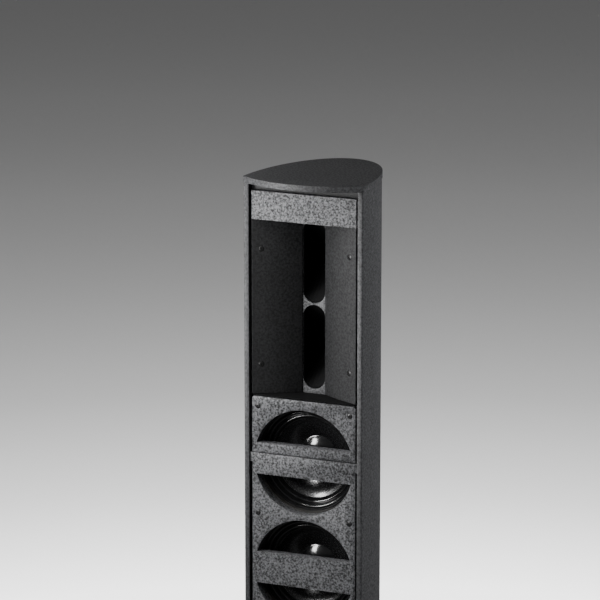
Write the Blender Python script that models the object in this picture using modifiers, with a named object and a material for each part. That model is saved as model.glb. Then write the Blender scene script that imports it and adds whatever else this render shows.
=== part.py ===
"""Column loudspeaker for a PA system: a D-section cabinet with a V horn over four woofers.

Units are metres. X runs across the front, -Y is the front, +Z is up. The origin is the middle
of the footprint, at the underside of the feet. "setback" is a depth behind the front plane, and
"drop" is a height below the top face of the top cap.
"""
import math

import bmesh
import bpy
from mathutils import Matrix

# ---------------------------------------------------------------- driving dimensions
WIDTH = 0.1344                # caps, across the front
DEPTH = 0.133                 # front plane to the back of the caps
CAP_BOW = 0.021               # how far the caps reach past the front plane, at the middle
CAP_BOW_ANGLE = 35.0          # slope of their bowed front edge where it ends, degrees
CAP_CORNER = 0.002
BACK_POWER = 2.0              # superellipse exponent of the curved back
CAP_THICKNESS = 0.0062
CAP_OVERHANG = 0.0007         # cap edge beyond the cabinet's skin
CORNER_RADIUS = 0.0015        # front corners of the section
WALL = 0.004                  # cabinet wall
RIM_INNER = 0.0609            # half width between the two front rims
RIM_DEPTH = 0.010
FIT = 0.0003                  # gap between touching pieces

PLATE_HALF_WIDTH = 0.0582
PLATE_SETBACK = 0.002
PLATE_THICKNESS = 0.010
END_SLOT = 0.0083             # open slot between a cap and the panel next to it
END_PANEL_HEIGHT = 0.0298
PANEL_THICKNESS = 0.0055
BACKING_THICKNESS = 0.0025
HORN_TOP = 0.0446             # drops of the wings' ends
HORN_BOTTOM = 0.2281
SHEET = 0.001                 # horn floor and roof
UPPER_PLATE_TOP = 0.2308      # drop
SEAM = 0.2906                 # drop of the seam between the two driver plates
SEAM_GAP = 0.0004

WOOFERS = 4
FIRST_WOOFER = 0.2967         # drop of the uppermost woofer's centre
PITCH = 0.1178
OPENING_RADIUS = 0.0559
BAR_HALF_HEIGHT = 0.0168      # the bar that crosses each opening
TAB_HEIGHT = 0.010
BOARD_SETBACK = PLATE_SETBACK + PLATE_THICKNESS + FIT
BOARD_THICKNESS = 0.0064
BOARD_HALF_WIDTH = 0.0606
BOARD_HOLE = 0.0550

FLANGE_HALF = 0.0575
FLANGE_CORNER = 0.016
FLANGE_THICKNESS = 0.0025
SKIRT_RADIUS = 0.0530         # inside of the basket at its flange
CONE_RADIUS = 0.0420
CONE_EDGE_SETBACK = 0.0250
CAP_EDGE_RADIUS = 0.0206      # dust cap
CAP_EDGE_SETBACK = 0.0412
CAP_RISE = 0.0068
COIL_RADIUS = 0.0133
BASKET_BACK = 0.0570          # setback of the basket's rear plate
SKIRT_WALL = 0.0016
LIP_THICKNESS = 0.0008        # the surround's clamped lip
RIDGE_RISE = 0.0024           # height of the surround's two ridges
SPIDER_SETBACK = 0.0500
SPIDER_RADIUS = 0.0300
MOTOR_RADIUS = 0.036
MOTOR_LENGTH = 0.021
COIL_GAP = 0.0011             # clearance on each side of the voice coil
COIL_WALL = 0.0007
COIL_END = 0.0660             # setback of the voice coil's rear end
GAP_DEPTH = 0.0135            # depth of the motor's coil gap

SLOT_SETBACK = 0.0288         # front face of the slot strip
STRIP_HALF_WIDTH = 0.0142
STRIP_THICKNESS = 0.003
STRIP_REACH = 0.0018          # how far the strip runs past the wings, up and down
SLOT_RADIUS = 0.0124
SLOT_LENGTH = 0.0874
SLOT_PITCH = 0.0908
FIRST_SLOT = 0.0884           # drop of the upper slot's centre
WING_BEND = (0.0356, 0.0124)  # half width and setback of the bend in each wing
WING_TIP = (0.0128, 0.0275)   # of the lip that laps the slot strip's edge
WING_LIP = 0.001              # thickness of that lip
WING_THICKNESS = 0.0034
WAVEGUIDE_LENGTH = 0.033
THROAT_RADIUS = 0.0125
HF_RADIUS = 0.028
HF_LENGTH = 0.0175
HF_COVER_DEPTH = 0.0117
HF_COIL_DEPTH = 0.004
DOME_RADIUS = 0.0190
DOME_RISE = 0.0055
DOME_WALL = 0.0005

CUP_HALF_WIDTH = 0.027        # terminal cup in the back
CUP_HEIGHT = 0.094
CUP_ABOVE_CAP = 0.051         # from the cup's lower edge down to the bottom cap
CUP_FLOOR = 0.113             # setback of the cup's inner face
CUP_FLOOR_THICKNESS = 0.003
CUP_WALL = 0.002
SOCKET_RADIUS = 0.011
SOCKET_SPACING = 0.042
BOSS_RADIUS = 0.008           # wall bosses
BOSS_HOLE = 0.003
BOSS_FRONT = 0.122
BOSS_BACK = DEPTH - 0.0004
BOSS_DROPS = {"upper": 0.090, "lower": 0.545}
POLE_RADIUS = 0.0178
POLE_WALL = 0.0027
POLE_LENGTH = 0.060
NETWORK_TOP = 0.440           # drops of the crossover board's ends
NETWORK_BOTTOM = 0.530
NETWORK_FACE = 0.0916         # setback of its rear face

FOOT_RADIUS = 0.009
FOOT_HEIGHT = 0.005
FEET = ((0.042, 0.018), (0.030, 0.095))   # half spacing and setback of the two pairs

TURN_STEPS = 20
SMALL_STEPS = 16              # small or hidden turned pieces
SECTION_STEPS = 36

# worked out from the above
SKIN_HALF_WIDTH = WIDTH / 2 - CAP_OVERHANG
SKIN_DEPTH = DEPTH - CAP_OVERHANG
MIDDLE = (DEPTH - CAP_BOW) / 2    # setback of the part's centre
LIP_SETBACK = BOARD_SETBACK + BOARD_THICKNESS + FIT
FLANGE_SETBACK = LIP_SETBACK + LIP_THICKNESS + FIT
MOTOR_SETBACK = BASKET_BACK + SKIRT_WALL + FIT
WAVEGUIDE_SETBACK = SLOT_SETBACK + STRIP_THICKNESS + FIT
HF_SETBACK = WAVEGUIDE_SETBACK + WAVEGUIDE_LENGTH + FIT
DOME_SETBACK = HF_SETBACK + HF_LENGTH + 2 * FIT

# drops of the lower end, which repeats the upper end
MAIN_BOTTOM = FIRST_WOOFER + (WOOFERS - 1) * PITCH + (FIRST_WOOFER - UPPER_PLATE_TOP)
LOW_PANEL_TOP = MAIN_BOTTOM + FIT
LOW_PANEL_BOTTOM = LOW_PANEL_TOP + END_PANEL_HEIGHT
LOW_CAP_TOP = LOW_PANEL_BOTTOM + END_SLOT
TOTAL_HEIGHT = LOW_CAP_TOP + CAP_THICKNESS + FOOT_HEIGHT
CUP_BOTTOM = LOW_CAP_TOP - CUP_ABOVE_CAP
CUP_TOP = CUP_BOTTOM - CUP_HEIGHT
SOCKET_DROPS = [(CUP_TOP + CUP_BOTTOM) / 2 + side * SOCKET_SPACING / 2 for side in (-1, 1)]

MATERIALS = {
    "structured_paint": ((0.055, 0.056, 0.060, 1.0), 0.55, 0.0),
    "horn_plastic": ((0.030, 0.031, 0.034, 1.0), 0.45, 0.0),
    "board": ((0.060, 0.052, 0.045, 1.0), 0.80, 0.0),
    "steel": ((0.32, 0.32, 0.33, 1.0), 0.40, 0.9),
    "magnet": ((0.030, 0.030, 0.032, 1.0), 0.60, 0.1),
    "coated_cone": ((0.015, 0.015, 0.017, 1.0), 0.25, 0.0),
    "rubber": ((0.020, 0.020, 0.021, 1.0), 0.55, 0.0),
    "foam": ((0.050, 0.050, 0.052, 1.0), 0.95, 0.0),
    "circuit": ((0.010, 0.090, 0.040, 1.0), 0.50, 0.0),
    "copper": ((0.600, 0.260, 0.110, 1.0), 0.35, 0.9),
}


# ---------------------------------------------------------------- places
def at_y(setback):
    """World Y of a depth behind the front plane."""
    return setback - MIDDLE


def at_z(drop):
    """World Z of a height below the top face."""
    return TOTAL_HEIGHT - drop


def woofer_drop(index):
    return FIRST_WOOFER + index * PITCH


def slot_drop(index):
    return FIRST_SLOT + index * SLOT_PITCH


# ---------------------------------------------------------------- scene and materials
def start():
    """Remove what the scene holds, and make the two collections."""
    for item in list(bpy.data.objects):
        bpy.data.objects.remove(item)
    parts = bpy.data.collections.new("column_speaker")
    tools = bpy.data.collections.new("cutters")
    for group in (parts, tools):
        bpy.context.scene.collection.children.link(group)
    return parts, tools


PARTS, TOOLS = start()


def material(name):
    """The named material, made the first time that it is asked for."""
    found = bpy.data.materials.get(name)
    if found:
        return found
    colour, roughness, metallic = MATERIALS[name]
    made = bpy.data.materials.new(name)
    made.use_nodes = True
    shader = made.node_tree.nodes["Principled BSDF"]
    shader.inputs["Base Color"].default_value = colour
    shader.inputs["Roughness"].default_value = roughness
    shader.inputs["Metallic"].default_value = metallic
    return made


def part(item, finish, sharp_degrees=35):
    """Put a finished object in the parts collection, with its material and smooth shading."""
    for group in list(item.users_collection):
        group.objects.unlink(item)
    PARTS.objects.link(item)
    item.data.materials.clear()
    item.data.materials.append(material(finish))
    item.data.shade_smooth()
    item.data.set_sharp_from_angle(angle=math.radians(sharp_degrees))
    return item


def cutter(item):
    """Put a tool body in the cutters collection, out of the build."""
    for group in list(item.users_collection):
        group.objects.unlink(item)
    TOOLS.objects.link(item)
    item.hide_render = True
    item.display_type = "WIRE"
    return item


def to_mesh(item):
    """The evaluated object as a plain welded mesh object, facing out, in the same place."""
    bpy.context.view_layer.update()
    seen = item.evaluated_get(bpy.context.evaluated_depsgraph_get())
    mesh = bpy.data.meshes.new_from_object(seen)
    shape = bmesh.new()
    shape.from_mesh(mesh)
    bmesh.ops.remove_doubles(shape, verts=shape.verts, dist=1e-6)
    bmesh.ops.dissolve_degenerate(shape, edges=shape.edges, dist=1e-7)
    bmesh.ops.recalc_face_normals(shape, faces=shape.faces)
    shape.to_mesh(mesh)
    shape.free()
    name = item.name
    made = bpy.data.objects.new(name + "_mesh", mesh)
    made.matrix_world = item.matrix_world.copy()
    bpy.context.scene.collection.objects.link(made)
    bpy.data.objects.remove(item)
    made.name = name
    return made


def combine(item, other, operation):
    """Cut, join or intersect an object with a tool body."""
    step = item.modifiers.new(operation.lower(), "BOOLEAN")
    step.operation = operation
    step.object = other
    step.solver = "EXACT"
    return item


# ---------------------------------------------------------------- basic shapes
def outline_solid(name, loops, thickness):
    """A flat outline in local XY, centred on Z = 0; loops after the first are holes."""
    curve = bpy.data.curves.new(name, "CURVE")
    curve.dimensions = "2D"
    curve.fill_mode = "BOTH"
    curve.extrude = thickness / 2
    for loop in loops:
        spline = curve.splines.new("POLY")
        spline.points.add(len(loop) - 1)
        for point, (x, y) in zip(spline.points, loop):
            point.co = (x, y, 0.0, 1.0)
        spline.use_cyclic_u = True
    item = bpy.data.objects.new(name, curve)
    bpy.context.scene.collection.objects.link(item)
    return to_mesh(item)


def lying(item, upper, lower):
    """Place an outline as a level slab; its outline's Y is a setback."""
    item.location = (0.0, at_y(0.0), (at_z(upper) + at_z(lower)) / 2)
    return item


def standing(item, setback, thickness, drop=0.0):
    """Place an outline as an upright plate; its outline's Y is a height above the drop."""
    item.rotation_euler = (math.pi / 2, 0.0, 0.0)
    item.location = (0.0, at_y(setback + thickness / 2), at_z(drop))
    return item


def box(name, half_width, front, back, upper, lower, centre_x=0.0):
    """A block between two setbacks and two drops."""
    bpy.ops.mesh.primitive_cube_add(size=1.0)
    item = bpy.context.object
    item.name = name
    item.data.transform(Matrix.Diagonal((2 * half_width, back - front, lower - upper, 1.0)))
    item.location = (centre_x, at_y((front + back) / 2), at_z((upper + lower) / 2))
    return item


def turned(name, profile, closed=True, steps=TURN_STEPS):
    """A profile of (radius, height) turned about local Z.

    The profile runs down its outer side. A closed one is a ring; an open one starts and ends
    on the axis.
    """
    count = len(profile)
    edges = [(i, i + 1) for i in range(count - 1)]
    if closed:
        edges.append((count - 1, 0))
    mesh = bpy.data.meshes.new(name)
    mesh.from_pydata([(radius, 0.0, height) for radius, height in profile], edges, [])
    item = bpy.data.objects.new(name, mesh)
    bpy.context.scene.collection.objects.link(item)
    screw = item.modifiers.new("turn", "SCREW")
    screw.axis = "Z"
    screw.steps = steps
    screw.render_steps = steps
    screw.use_merge_vertices = True
    screw.merge_threshold = 1e-5
    return to_mesh(item)


def facing_front(item, drop, x=0.0):
    """Turn local +Z to the front; heights in the item are then minus setbacks."""
    item.rotation_euler = (math.pi / 2, 0.0, 0.0)
    item.location = (x, at_y(0.0), at_z(drop))
    return item


def facing_back(item, setback, drop, x=0.0):
    """Turn local +Z to the back, with local Z = 0 at the setback."""
    item.rotation_euler = (-math.pi / 2, 0.0, 0.0)
    item.location = (x, at_y(setback), at_z(drop))
    return item


def arc(centre, radius, start, end, steps):
    """Points on an arc, angles in degrees, both ends included."""
    span = [math.radians(start + (end - start) * i / steps) for i in range(steps + 1)]
    return [(centre[0] + radius * math.cos(a), centre[1] + radius * math.sin(a)) for a in span]


def circle(centre, radius, steps=TURN_STEPS):
    return arc(centre, radius, 0.0, 360.0, steps)[:-1]


def rounded_box(half_width, low, high, radius, steps=4):
    """A rounded rectangle, symmetric about X = 0."""
    x = half_width - radius
    return (arc((x, high - radius), radius, 0, 90, steps)
            + arc((-x, high - radius), radius, 90, 180, steps)
            + arc((-x, low + radius), radius, 180, 270, steps)
            + arc((x, low + radius), radius, 270, 360, steps))


def obround(centre_y, radius, length, steps=10):
    """An upright slot with round ends."""
    reach = length / 2 - radius
    return (arc((0.0, centre_y + reach), radius, 0, 180, steps)
            + arc((0.0, centre_y - reach), radius, 180, 360, steps))


def back_curve(half_width, depth, first_y):
    """The curved back from right to left, for setbacks of at least first_y."""
    points = []
    for step in range(SECTION_STEPS + 1):
        angle = math.pi * step / SECTION_STEPS
        x = half_width * math.copysign(abs(math.cos(angle)) ** (2 / BACK_POWER), math.cos(angle))
        y = depth * abs(math.sin(angle)) ** (2 / BACK_POWER)
        if y > first_y:
            points.append((x, y))
    return points


def back_width(half_width, depth, y):
    """Half width of the section at one setback."""
    return half_width * (1 - (y / depth) ** BACK_POWER) ** (1 / BACK_POWER)


def front_corners(half_width):
    """The two rounded front corners, left then right, in that order along the front."""
    x, radius = half_width - CORNER_RADIUS, CORNER_RADIUS
    return arc((-x, radius), radius, 180, 270, 3), arc((x, radius), radius, 270, 360, 3)


def section(half_width, depth):
    """The whole D outline."""
    left, right = front_corners(half_width)
    return left + right + back_curve(half_width, depth, CORNER_RADIUS * 1.5)


def cap_outline():
    """The D outline with a bowed front edge between its two rounded corners."""
    half_width, slope = WIDTH / 2, math.radians(CAP_BOW_ANGLE)
    bow = (half_width - CAP_CORNER) / math.sin(slope) + CAP_CORNER
    corner_y = bow - CAP_BOW - (bow - CAP_CORNER) * math.cos(slope)
    corner_x = half_width - CAP_CORNER
    left = arc((-corner_x, corner_y), CAP_CORNER, 180, 270 - CAP_BOW_ANGLE, 3)
    right = arc((corner_x, corner_y), CAP_CORNER, 270 + CAP_BOW_ANGLE, 360, 3)
    front = arc((0.0, bow - CAP_BOW), bow, 270 - CAP_BOW_ANGLE, 270 + CAP_BOW_ANGLE, 14)[1:-1]
    return left + front + right + back_curve(half_width, DEPTH, corner_y * 1.5)


# ---------------------------------------------------------------- cabinet
def cabinet_shell():
    """One bent wall: curved back, straight sides and two front rims."""
    inner = SKIN_HALF_WIDTH - WALL
    inner_depth = SKIN_DEPTH - WALL
    left, right = front_corners(SKIN_HALF_WIDTH)
    step_x = back_width(inner, inner_depth, RIM_DEPTH)
    outside = right + back_curve(SKIN_HALF_WIDTH, SKIN_DEPTH, CORNER_RADIUS * 1.5) + left
    inside = [(-RIM_INNER, 0.0), (-RIM_INNER, RIM_DEPTH), (-step_x, RIM_DEPTH)]
    inside += reversed(back_curve(inner, inner_depth, RIM_DEPTH * 1.2))
    inside += [(step_x, RIM_DEPTH), (RIM_INNER, RIM_DEPTH), (RIM_INNER, 0.0)]
    upper, lower = CAP_THICKNESS + FIT, LOW_CAP_TOP - FIT
    shell = lying(outline_solid("cabinet_shell", [outside + inside], lower - upper), upper, lower)
    window = cutter(box("cup_window", CUP_HALF_WIDTH + FIT, 0.105, 0.140, CUP_TOP - FIT,
                        CUP_BOTTOM + FIT))
    combine(shell, window, "DIFFERENCE")
    for name, drop in BOSS_DROPS.items():
        hole = turned("boss_hole_" + name, [(0, 0.03), (BOSS_RADIUS + FIT, 0.03),
                                            (BOSS_RADIUS + FIT, 0), (0, 0)], closed=False,
                      steps=SMALL_STEPS)
        combine(shell, cutter(facing_back(hole, 0.115, drop)), "DIFFERENCE")
    part(shell, "structured_paint")


def caps():
    """The two end caps; the lower one has a hole for the pole socket."""
    outline = cap_outline()
    part(lying(outline_solid("top_cap", [outline], CAP_THICKNESS), 0.0, CAP_THICKNESS),
         "structured_paint")
    hole = circle((0.0, MIDDLE), POLE_RADIUS + POLE_WALL + FIT)
    lower = outline_solid("bottom_cap", [outline, hole], CAP_THICKNESS)
    part(lying(lower, LOW_CAP_TOP, LOW_CAP_TOP + CAP_THICKNESS), "structured_paint")


def pole_socket():
    """A closed-top tube that takes a 35 mm pole from below."""
    outer = POLE_RADIUS + POLE_WALL
    profile = [(0.0, POLE_LENGTH), (outer, POLE_LENGTH), (outer, 0.0), (POLE_RADIUS, 0.0),
               (POLE_RADIUS, POLE_LENGTH - 0.003), (0.0, POLE_LENGTH - 0.003)]
    socket = turned("pole_socket", profile, closed=False)
    socket.location = (0.0, 0.0, FOOT_HEIGHT + FIT)
    part(socket, "steel")


def feet():
    corners = [(side, *pair) for pair in FEET for side in (-1, 1)]
    for number, (side, half_spacing, setback) in enumerate(corners, start=1):
        height = FOOT_HEIGHT - FIT
        foot = turned("foot_%d" % number, [(0.0, height), (FOOT_RADIUS, height),
                                           (FOOT_RADIUS, 0.0015), (FOOT_RADIUS - 0.0015, 0.0),
                                           (0.0, 0.0)], closed=False, steps=SMALL_STEPS)
        foot.location = (side * half_spacing, at_y(setback), 0.0)
        part(foot, "rubber")


# ---------------------------------------------------------------- front plates
def end_panel(name, upper, lower, backing_upper, backing_lower):
    """A short front panel on a wider backing that closes the slot beside the cap."""
    joint = PLATE_SETBACK + PANEL_THICKNESS
    panel = box(name, PLATE_HALF_WIDTH, PLATE_SETBACK, joint + 0.001, upper, lower)
    backing = box(name + "_backing", RIM_INNER - FIT, joint, joint + BACKING_THICKNESS,
                  backing_upper, backing_lower)
    combine(panel, cutter(backing), "UNION")
    part(panel, "structured_paint")


def half_moon(drop, side):
    """The part of a round opening above (side 1) or below (side -1) its bar, as heights."""
    edge = math.degrees(math.asin(BAR_HALF_HEIGHT / OPENING_RADIUS))
    first, last = (edge, 180 - edge) if side > 0 else (180 + edge, 360 - edge)
    return arc((0.0, -drop), OPENING_RADIUS, first, last, 14)


def upper_baffle_plate():
    """The short plate over the first woofer's upper half, with its top corners rounded."""
    x, radius = PLATE_HALF_WIDTH, 0.003
    top, bottom = -UPPER_PLATE_TOP, -SEAM
    edge = (arc((x - radius, top - radius), radius, 0, 90, 4)
            + arc((radius - x, top - radius), radius, 90, 180, 4) + [(-x, bottom), (x, bottom)])
    plate = outline_solid("upper_baffle_plate", [edge, half_moon(FIRST_WOOFER, 1)],
                          PLATE_THICKNESS)
    part(standing(plate, PLATE_SETBACK, PLATE_THICKNESS), "structured_paint")


def main_baffle_plate():
    """The long plate; two tabs at its top reach across the grille grooves to the rims."""
    x, tab = PLATE_HALF_WIDTH, RIM_INNER - FIT
    top, bottom = -(SEAM + SEAM_GAP), -MAIN_BOTTOM
    edge = [(tab, top), (-tab, top), (-tab, top - TAB_HEIGHT), (-x, top - TAB_HEIGHT),
            (-x, bottom), (x, bottom), (x, top - TAB_HEIGHT), (tab, top - TAB_HEIGHT)]
    holes = [half_moon(woofer_drop(0), -1)]
    for index in range(1, WOOFERS):
        holes += [half_moon(woofer_drop(index), 1), half_moon(woofer_drop(index), -1)]
    plate = outline_solid("main_baffle_plate", [edge] + holes, PLATE_THICKNESS)
    part(standing(plate, PLATE_SETBACK, PLATE_THICKNESS), "structured_paint")


def driver_board():
    """The board behind the plates that the woofers are screwed to."""
    top, bottom = -(UPPER_PLATE_TOP - 0.001), -(MAIN_BOTTOM - 0.001)
    x = BOARD_HALF_WIDTH
    holes = [circle((0.0, -woofer_drop(i)), BOARD_HOLE, 24) for i in range(WOOFERS)]
    board = outline_solid("driver_board", [[(x, top), (-x, top), (-x, bottom), (x, bottom)]]
                          + holes, BOARD_THICKNESS)
    part(standing(board, BOARD_SETBACK, BOARD_THICKNESS), "board")


# ---------------------------------------------------------------- woofers
def basket_template():
    """Square flange, open conical skirt with four windows, and the rear plate."""
    hole = circle((0.0, 0.0), SKIRT_RADIUS, TURN_STEPS)
    flange = outline_solid("flange", [rounded_box(FLANGE_HALF, -FLANGE_HALF, FLANGE_HALF,
                                                  FLANGE_CORNER, 3), hole], FLANGE_THICKNESS)
    flange.data.transform(Matrix.Translation((0, 0, -(FLANGE_SETBACK + FLANGE_THICKNESS / 2))))
    top, back = -(FLANGE_SETBACK + 0.0012), -BASKET_BACK
    neck = SPIDER_RADIUS + 0.0025
    skirt = turned("skirt", [
        (SKIRT_RADIUS + SKIRT_WALL, top), (neck + SKIRT_WALL, back + 0.009),
        (neck + SKIRT_WALL, back - SKIRT_WALL), (0.0170, back - SKIRT_WALL), (0.0170, back),
        (neck, back), (neck, back + 0.008), (SKIRT_RADIUS + 0.0004, top)])
    combine(flange, cutter(skirt), "UNION")
    window_upper, window_lower = -0.0285, -0.0460
    for index in range(2):
        bpy.ops.mesh.primitive_cube_add(size=1.0)
        window = cutter(bpy.context.object)
        window.name = "basket_window_%d" % index
        window.data.transform(Matrix.Diagonal((0.14, 0.030, window_upper - window_lower, 1.0)))
        window.location = (0.0, 0.0, (window_upper + window_lower) / 2)
        window.rotation_euler = (0.0, 0.0, math.radians(45 + 90 * index))
        combine(flange, window, "DIFFERENCE")
    return to_mesh(flange)


def cone_template():
    """Cone and voice coil former in one piece, open at both ends."""
    wall = 0.0008
    rim = -CONE_EDGE_SETBACK
    bend = (0.0200, -0.0425)
    neck = -0.0470
    end = -COIL_END
    return turned("cone", [
        (CONE_RADIUS, rim), (0.0315, -0.0345), (bend[0], bend[1] - wall), (COIL_RADIUS, neck - wall),
        (COIL_RADIUS, end), (COIL_RADIUS - COIL_WALL, end), (COIL_RADIUS - COIL_WALL, neck + 0.0012),
        (bend[0], bend[1]), (0.0310, -0.0338), (CONE_RADIUS - 0.0008, rim + 0.0003)])


def dust_cap_template():
    """A shallow dome shell whose edge meets the cone."""
    wall, rings = 0.0007, 3
    radius = (CAP_EDGE_RADIUS ** 2 + CAP_RISE ** 2) / (2 * CAP_RISE)
    half_angle = math.asin(CAP_EDGE_RADIUS / radius)
    centre = -CAP_EDGE_SETBACK + CAP_RISE - radius
    angles = [half_angle * step / rings for step in range(rings + 1)]
    outer = [(radius * math.sin(a), centre + radius * math.cos(a)) for a in angles]
    inner = [((radius - wall) * math.sin(a), centre + (radius - wall) * math.cos(a))
             for a in reversed(angles)]
    return turned("dust_cap", outer + inner, closed=False)


def surround_template():
    """Rubber edge: a clamped lip, then two ridges that step back to the cone's rim."""
    lip = -LIP_SETBACK
    outer, inner = 0.0524, CONE_RADIUS + FIT
    drop_to = -(CONE_EDGE_SETBACK + 0.0001)
    count, rise = 4, RIDGE_RISE
    upper = [(0.0570, lip)]
    for step in range(count + 1):
        share = step / count
        ridge = rise * math.sin(math.pi * share * 2) ** 2
        base = lip - 0.0003 + (drop_to - lip) * share
        upper.append((outer + (inner - outer) * share, base + ridge))
    peaks = [(outer + (inner - outer) * s, lip - 0.0003 + (drop_to - lip) * s + rise)
             for s in (0.25, 0.75)]
    upper[2], upper[4] = peaks
    lower = [(radius, height - LIP_THICKNESS) for radius, height in reversed(upper)]
    return turned("surround", list(reversed(lower)) + list(reversed(upper)))


def spider_template():
    """Corrugated centring disc between the basket's step and the coil former."""
    inner, outer, wall, waves = COIL_RADIUS + FIT, SPIDER_RADIUS, 0.0006, 2
    points = []
    for step in range(2 * waves + 1):
        share = step / (2 * waves)
        swing = 0.0012 * (step % 2) - 0.0006
        points.append((outer + (inner - outer) * share, -SPIDER_SETBACK + swing))
    lower = [(radius, height - wall) for radius, height in points]
    return turned("spider", lower + list(reversed(points)), steps=SMALL_STEPS)


def motor_template():
    """Magnet, plates and pole as one body with the coil gap open to the front."""
    top, bottom = -MOTOR_SETBACK, -(MOTOR_SETBACK + MOTOR_LENGTH)
    pole = COIL_RADIUS - COIL_WALL - COIL_GAP
    gap = COIL_RADIUS + COIL_GAP
    floor = top - GAP_DEPTH
    return turned("motor", [
        (0.0, top), (pole, top), (pole, floor), (gap, floor), (gap, top),
        (MOTOR_RADIUS - 0.002, top), (MOTOR_RADIUS - 0.002, top - 0.004),
        (MOTOR_RADIUS, top - 0.004), (MOTOR_RADIUS, bottom), (0.0, bottom)], closed=False)


def woofers():
    """Each woofer's six pieces, from one mesh per kind of piece."""
    kinds = (("basket", basket_template(), "steel"), ("motor", motor_template(), "magnet"),
             ("spider", spider_template(), "foam"), ("cone", cone_template(), "coated_cone"),
             ("dust_cap", dust_cap_template(), "coated_cone"),
             ("surround", surround_template(), "rubber"))
    for kind, template, finish in kinds:
        for index in range(WOOFERS):
            piece = bpy.data.objects.new("woofer_%d_%s" % (index + 1, kind), template.data)
            bpy.context.scene.collection.objects.link(piece)
            part(facing_front(piece, woofer_drop(index)), finish)
        bpy.data.objects.remove(template)


# ---------------------------------------------------------------- horn and high-frequency drivers
def horn_wing(name, side):
    """One wall of the V: two flats that meet at a shallow bend, with a foot at the rim."""
    edge, foot = PLATE_HALF_WIDTH, RIM_INNER - FIT
    joint = PLATE_SETBACK + PANEL_THICKNESS
    step, back = STRIP_HALF_WIDTH + FIT, WING_THICKNESS
    tip_x, tip_y = WING_TIP
    points = [(edge, PLATE_SETBACK), (edge, joint), (foot, joint), (foot, joint + 0.0025),
              (WING_BEND[0] + 0.0180, joint + 0.0025), (WING_BEND[0], WING_BEND[1] + back),
              (step, tip_y + back), (step, tip_y + WING_LIP), (tip_x, tip_y + WING_LIP), WING_TIP,
              WING_BEND]
    wing = outline_solid(name, [[(side * x, y) for x, y in points]], HORN_BOTTOM - HORN_TOP)
    part(lying(wing, HORN_TOP, HORN_BOTTOM), "horn_plastic")


def horn_end(name, front, upper):
    """A thin level sheet that closes one end of the V."""
    back = SLOT_SETBACK - FIT
    share = (front - PLATE_SETBACK) / (WING_TIP[1] - PLATE_SETBACK)
    front_x = PLATE_HALF_WIDTH + (WING_TIP[0] - PLATE_HALF_WIDTH) * share
    back_x = STRIP_HALF_WIDTH + 0.004
    points = [(front_x, front), (back_x, back), (-back_x, back), (-front_x, front)]
    part(lying(outline_solid(name, [points], SHEET), upper, upper + SHEET), "horn_plastic")


def slot_strip():
    """The strip at the bottom of the V, with the two round-ended slots."""
    x, top, bottom = STRIP_HALF_WIDTH, STRIP_REACH - HORN_TOP, -(HORN_BOTTOM + STRIP_REACH)
    edge = [(x, top), (-x, top), (-x, bottom), (x, bottom)]
    slots = [obround(-slot_drop(i), SLOT_RADIUS, SLOT_LENGTH) for i in range(2)]
    strip = outline_solid("slot_strip", [edge] + slots, STRIP_THICKNESS)
    part(standing(strip, SLOT_SETBACK, STRIP_THICKNESS), "structured_paint")


def channel_cutter(name, front, back):
    """The inside of a waveguide: a loft from the slot's outline to the round throat."""
    shape = bmesh.new()
    mouth = obround(0.0, SLOT_RADIUS, SLOT_LENGTH)
    rings = []
    for share in (0.0, 0.5, 1.0):
        ring = []
        for index, (x, y) in enumerate(mouth):
            end_centre = 1 if index < len(mouth) // 2 else -1
            reach = end_centre * (SLOT_LENGTH / 2 - SLOT_RADIUS)
            narrow = (x * THROAT_RADIUS / SLOT_RADIUS, (y - reach) * THROAT_RADIUS / SLOT_RADIUS
                      + reach * 0.02)
            ring.append(shape.verts.new((x + (narrow[0] - x) * share, y + (narrow[1] - y) * share,
                                         front + (back - front) * share)))
        rings.append(ring)
    for near, far in zip(rings, rings[1:]):
        for index in range(len(mouth)):
            after = (index + 1) % len(mouth)
            shape.faces.new((near[index], near[after], far[after], far[index]))
    shape.faces.new(list(reversed(rings[0])))
    shape.faces.new(rings[-1])
    bmesh.ops.recalc_face_normals(shape, faces=shape.faces)
    mesh = bpy.data.meshes.new(name)
    shape.to_mesh(mesh)
    shape.free()
    item = bpy.data.objects.new(name, mesh)
    bpy.context.scene.collection.objects.link(item)
    return cutter(item)


def waveguide(name, drop):
    """The block behind a slot, with the tapered channel to the driver's throat."""
    front, back = WAVEGUIDE_SETBACK, WAVEGUIDE_SETBACK + WAVEGUIDE_LENGTH
    half_height = SLOT_PITCH / 2 - FIT
    block = box(name, 0.0175, front, back, drop - half_height, drop + half_height)
    channel = channel_cutter(name + "_channel", -front + 0.001, -back - 0.001)
    combine(block, facing_front(channel, drop), "DIFFERENCE")
    part(block, "horn_plastic")


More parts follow.
